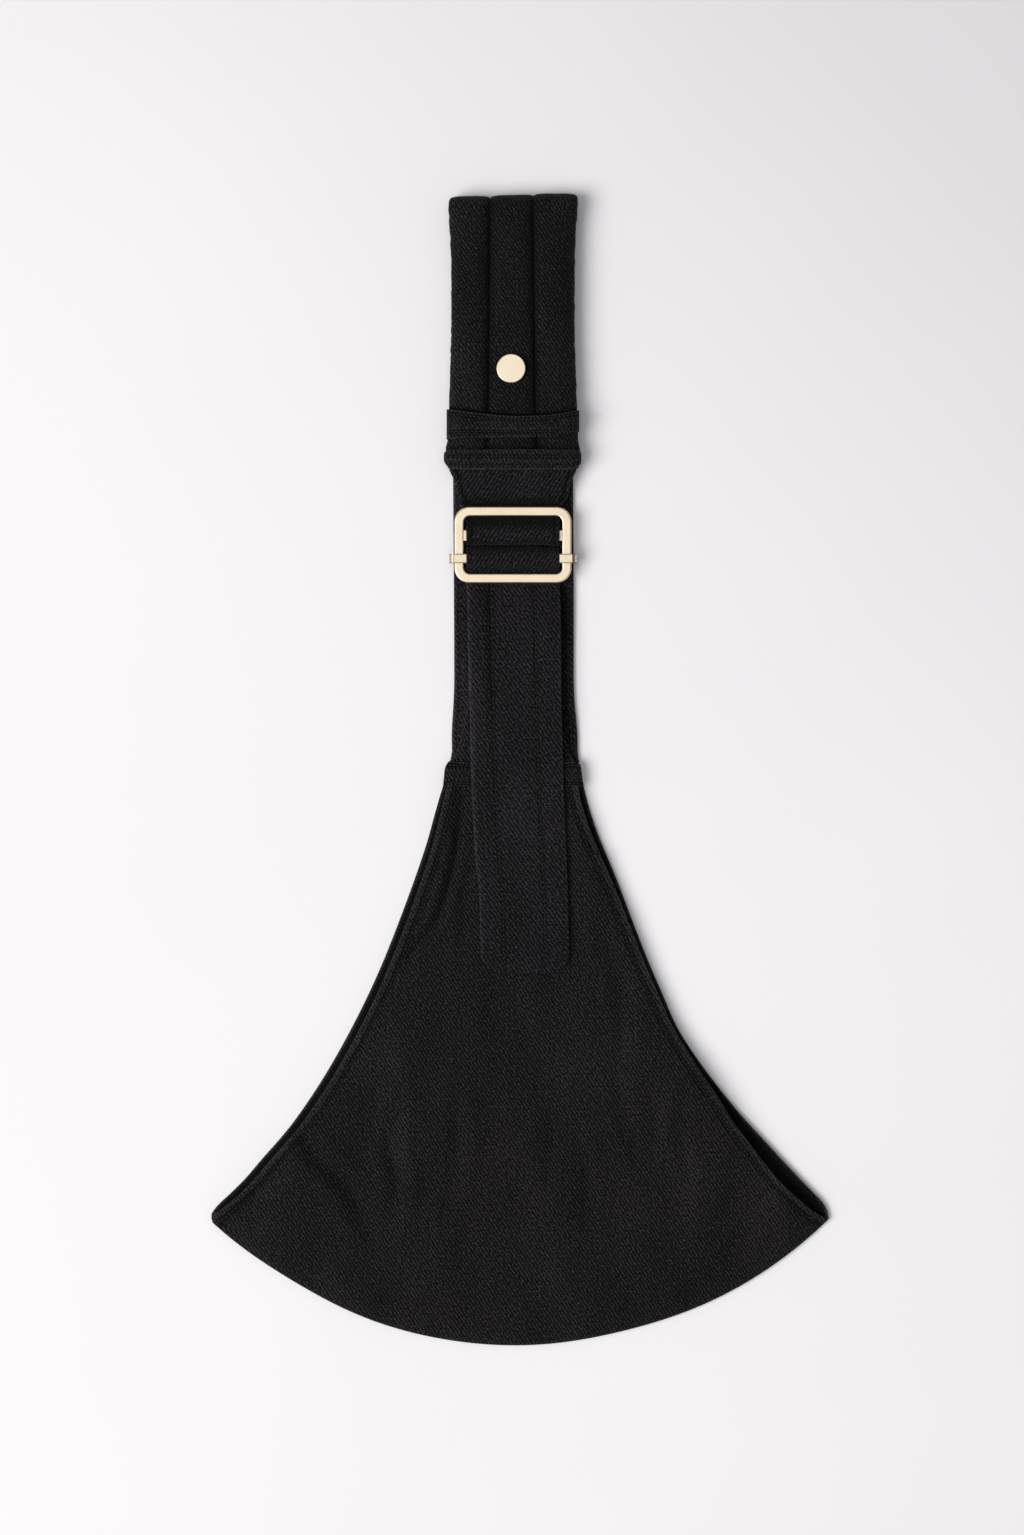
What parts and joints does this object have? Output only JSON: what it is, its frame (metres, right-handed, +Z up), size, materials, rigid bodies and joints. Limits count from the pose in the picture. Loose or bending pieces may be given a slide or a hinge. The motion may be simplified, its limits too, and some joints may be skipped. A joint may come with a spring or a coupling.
{
  "type": "baby wrap sling",
  "caption": "Pouch baby carrier for one shoulder: padded shoulder section, buckle with a sliding bar, adjuster strap with a free tail and a round-bottomed cloth pouch, folded double and flat.",
  "frame": {"origin": "bottom centre of the bounding box of the sling as it lies folded double on a floor", "axes": "+X across the sling, +Y from the pouch towards the shoulder fold, +Z up from the floor"},
  "size_m": [0.3956, 0.737, 0.02],
  "materials": {
    "twill": "matt black cotton twill",
    "twill_inside": "matt black cotton twill, plain side",
    "wadding": "white polyester wadding",
    "pale_gold": "satin pale gold plating"
  },
  "bodies": {
    "sling": {"pouch_back_outer": "twill", "pouch_back_lining": "twill_inside", "pouch_back_band": "twill", "pouch_front_outer": "twill", "pouch_front_lining": "twill_inside", "pouch_front_band": "twill", "pad_cover": "twill", "pad_lining": "twill_inside", "wadding_left": "wadding", "wadding_middle": "wadding", "wadding_right": "wadding", "pad_hem_front": "twill", "pad_hem_back": "twill", "keeper_band": "twill", "button_cap": "pale_gold", "button_tack": "pale_gold", "back_strap": "twill", "connector_strap": "twill", "adjuster_leg": "twill"},
    "buckle": {"buckle_frame": "pale_gold", "connector_loop": "twill"},
    "sliding_bar": {"slide_bar": "pale_gold", "adjuster_wrap": "twill"},
    "tail": {"adjuster_tail": "twill"}
  },
  "joints": [
    {"name": "frame_tilt", "type": "hinge", "parent": "sling", "child": "buckle", "pos_m": [0, 0.1678, 0.0067], "axis": [-1, 0, 0], "range_deg": [0, 45]},
    {"name": "bar_slide", "type": "slide", "parent": "buckle", "child": "sliding_bar", "axis": [0, 1, 0], "range_m": [-0.0025, 0.0012]},
    {"name": "strap_adjust", "type": "slide", "parent": "sling", "child": "tail", "axis": [0, -1, 0], "range_m": [0, 0.1]}
  ]
}
